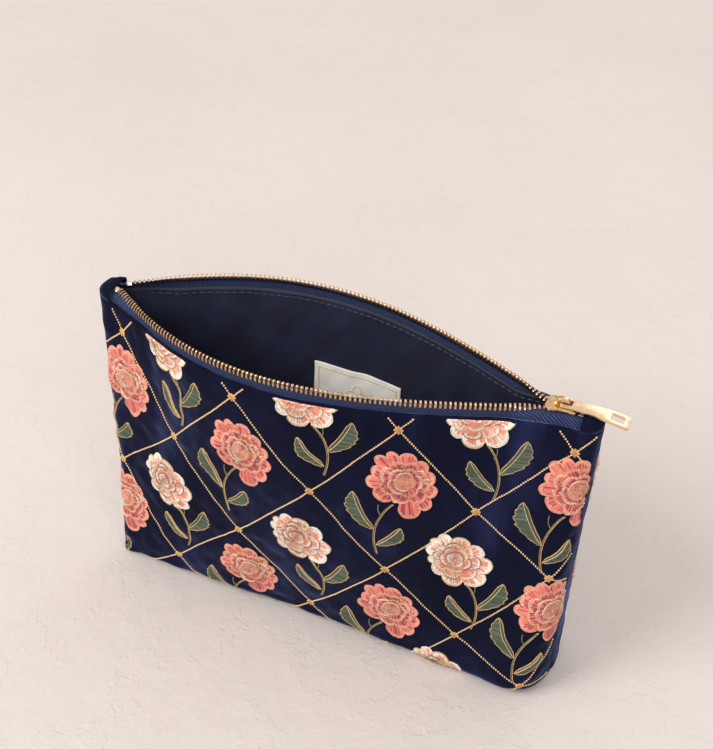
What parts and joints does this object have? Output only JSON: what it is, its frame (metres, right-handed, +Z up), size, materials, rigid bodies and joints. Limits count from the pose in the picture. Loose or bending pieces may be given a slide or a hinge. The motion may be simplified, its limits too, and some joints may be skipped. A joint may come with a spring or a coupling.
{
  "type": "zippered pouch",
  "caption": "Soft velvet pouch, lined, with an open metal zip along the top, a sliding zip slider and a hinged pull.",
  "frame": {"origin": "on the surface the pouch stands on, at the middle of the base", "axes": "+X along the zip towards the end where the slider waits when the pouch is open, -Y the front, +Z up"},
  "size_m": [0.2405, 0.0766, 0.1569],
  "materials": {
    "velvet": "velvet",
    "interlining": "non-woven",
    "lining": "satin",
    "label": "woven",
    "thread": "thread",
    "tape": "woven",
    "teeth_metal": "polished",
    "stop_metal": "polished",
    "slider_metal": "polished",
    "pull_metal": "polished"
  },
  "bodies": {
    "pouch": {"front_panel": "velvet", "back_panel": "velvet", "front_interlining": "interlining", "back_interlining": "interlining", "front_lining": "lining", "back_lining": "lining", "left_end_tab": "velvet", "right_end_tab": "velvet", "woven_label": "label", "front_stitching": "thread", "back_stitching": "thread", "front_tape": "tape", "back_tape": "tape", "front_teeth": "teeth_metal", "back_teeth": "teeth_metal", "front_top_stop": "stop_metal", "back_top_stop": "stop_metal", "bottom_stop": "stop_metal"},
    "slider": {"slider_body": "slider_metal", "slider_crown": "slider_metal"},
    "pull": {"pull_tab": "pull_metal"}
  },
  "joints": [
    {"name": "slider_travel", "type": "slide", "parent": "pouch", "child": "slider", "axis": [-1, 0, 0], "range_m": [0, 0.193], "deforming": ["front_panel", "back_panel", "front_interlining", "back_interlining", "front_lining", "back_lining", "woven_label", "front_stitching", "back_stitching", "front_tape", "back_tape", "front_teeth", "back_teeth"]},
    {"name": "pull_swing", "type": "hinge", "parent": "slider", "child": "pull", "pos_m": [0.103, 0, 0.1546], "axis": [0, -1, 0], "range_deg": [0, 180]}
  ]
}
